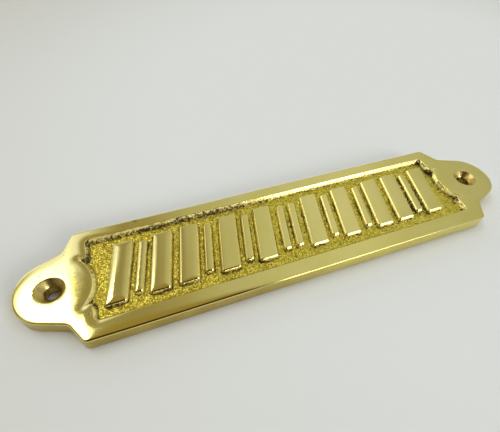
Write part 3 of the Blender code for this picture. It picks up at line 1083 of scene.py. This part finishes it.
ahead = dotted("Facing")
divisor = calculate(panel, "MAXIMUM", ahead, JUST_AHEAD)
mask = calculate(panel, "GREATER_THAN", ahead, JUST_AHEAD)
for axis, low, high in (("Side", "Left", "Right"), ("Up", "Bottom", "Top")):
    slope = calculate(panel, "DIVIDE", dotted(axis), divisor)
    full = calculate(panel, "ADD", given[low], given[low + " Fade"])
    mask = calculate(panel, "MULTIPLY", mask, smooth_step(panel, slope, given[low], full))
    full = calculate(panel, "SUBTRACT", given[high], given[high + " Fade"])
    mask = calculate(panel, "MULTIPLY", mask, smooth_step(panel, slope, given[high], full))
connect(panel, result, {"Mask": mask})

# %% Paint the room
# From the left, at -1, to the right: how bright and warm the room is behind the panels.
ROOM = ((-1.0, (0.34, 0.32, 0.28)), (-0.3, (0.34, 0.32, 0.26)), (-0.05, (0.35, 0.31, 0.22)),
        (0.03, (0.40, 0.37, 0.30)), (0.12, (0.51, 0.50, 0.45)), (0.3, (0.61, 0.62, 0.62)),
        (0.45, (0.67, 0.68, 0.70)), (0.53, (0.69, 0.70, 0.72)), (0.6, (0.60, 0.61, 0.61)),
        (0.7, (0.53, 0.54, 0.52)), (0.8, (0.46, 0.46, 0.44)))

world = bpy.data.worlds.new("studio")
bpy.context.scene.world = world
world.use_nodes = True
tree = world.node_tree
direction = add_node(tree, "TexCoord", output="Generated")
rightward = add_node(tree, "SeparateXYZ", {0: direction}, "X")
surroundings = add_node(tree, "ValToRGB", {0: calculate(tree, "MULTIPLY_ADD", rightward, 0.5, 0.5)})
stops = surroundings.node.color_ramp.elements
stops.remove(stops[1])
stops[0].color = (*ROOM[0][1], 1)
for x, colour in ROOM[1:]:
    stops.new((x + 1) / 2).color = (*colour, 1)
print(f"The room changes over {len(stops)} stops")

# %% Stand the panels round the sign
FRONT = (0, -1, 0)
BACK = (0, 1, 0)
RIGHT = (1, 0, 0)
FAR_LEFT = (-0.5, 0.866, 0)
OUT = (0, 0, 1)
# A panel faces one way, with another way up. Its extents, across and upward, are slopes seen from the
# sign: where it starts, how long it fades in, where it ends, and how long it fades out.
PANELS = {
    "far wall": (BACK, OUT, (-3.0, 1.0, 3.0, 1.0), (0.08, 0.1, 0.85, 0.25), (0.75, 0.78, 0.8)),
    "right wall": (RIGHT, OUT, (-1.2, 0.4, 1.2, 0.4), (0.08, 0.1, 0.62, 0.15), (0.85, 0.88, 0.92)),
    "cool ceiling": (OUT, BACK, (0.41, 0.14, 1.1, 0.35), (-0.9, 0.3, 0.30, 0.1), (1.45, 1.55, 2.6)),
    "left ceiling": (OUT, BACK, (-1.7, 0.4, -0.66, 0.1), (-1.3, 0.3, 0.3, 0.1), (0.8, 0.8, 0.76)),
    "brown ceiling": (OUT, BACK, (-0.62, 0.2, 0.34, 0.2), (-3.0, 0.1, 0.44, 0.09), (0.34, 0.26, 0.12)),
    "dark ceiling": (OUT, BACK, (-0.62, 0.2, 0.34, 0.1), (-4.0, 0.1, -0.1, 0.2), (0.07, 0.055, 0.035)),
    "dark room": (FRONT, OUT, (-3.0, 0.5, 0.32, 0.05), (0.0, 0.02, 1.5, 0.5), (0.05, 0.04, 0.03)),
    "front window": (FRONT, OUT, (0.33, 0.06, 1.05, 0.25), (0.22, 0.08, 0.82, 0.12), (10.0, 10.0, 10.0)),
    "left window": (FAR_LEFT, OUT, (-0.22, 0.08, 0.22, 0.08), (0.05, 0.06, 0.7, 0.15), (2.2, 2.2, 2.2)),
    "cool glow": (OUT, BACK, (-0.6, 0.25, -0.07, 0.2), (0.68, 0.1, 1.2, 0.2), (1.15, 1.18, 1.6)),
    "soft box": (OUT, BACK, (-0.64, 0.26, -0.239, 0.010), (0.06, 0.06, 0.85, 0.20), (5.6, 5.5, 5.4)),
    "crisp box": (OUT, BACK, (-0.5, 0.1, -0.2, 0.010), (0.06, 0.06, 0.585, 0.03), (5.6, 5.5, 5.4)),
}


def lying_direction(x, y, z):
    """A direction of the lying sign as one of the scene."""
    return Vector((x, -z, y)).normalized()


for facing, up, across, upward, colour in PANELS.values():
    facing = lying_direction(*facing)
    side = lying_direction(*up).cross(facing).normalized()
    mask = use_group(tree, panel, {"Direction": direction, "Facing": facing, "Side": side,
                                   "Up": facing.cross(side), **dict(zip(EXTENT, across + upward))})
    surroundings = blend(tree, mask, surroundings, (*colour, 1))
print("The panels are", ", ".join(PANELS))

# %% Close the room
# Behind the sign all is pale, and the camera itself sees a plain background past the table.
BEHIND_SIGN = (0.62, 0.62, 0.6, 1)
BEHIND_FADE = (0.0, 0.04)
BACKGROUND = (0.69, 0.71, 0.68, 1)

backward = add_node(tree, "SeparateXYZ", {0: direction}, "Y")
surroundings = blend(tree, smooth_step(tree, backward, *BEHIND_FADE), surroundings, BEHIND_SIGN)
seen = add_node(tree, "LightPath", output="Is Camera Ray")
surroundings = blend(tree, seen, surroundings, BACKGROUND)
connect(tree, tree.nodes["Background"], {"Color": surroundings})
bpy.context.scene.view_settings.view_transform = "Standard"
print("The world", world.name, "has", len(tree.nodes), "nodes")
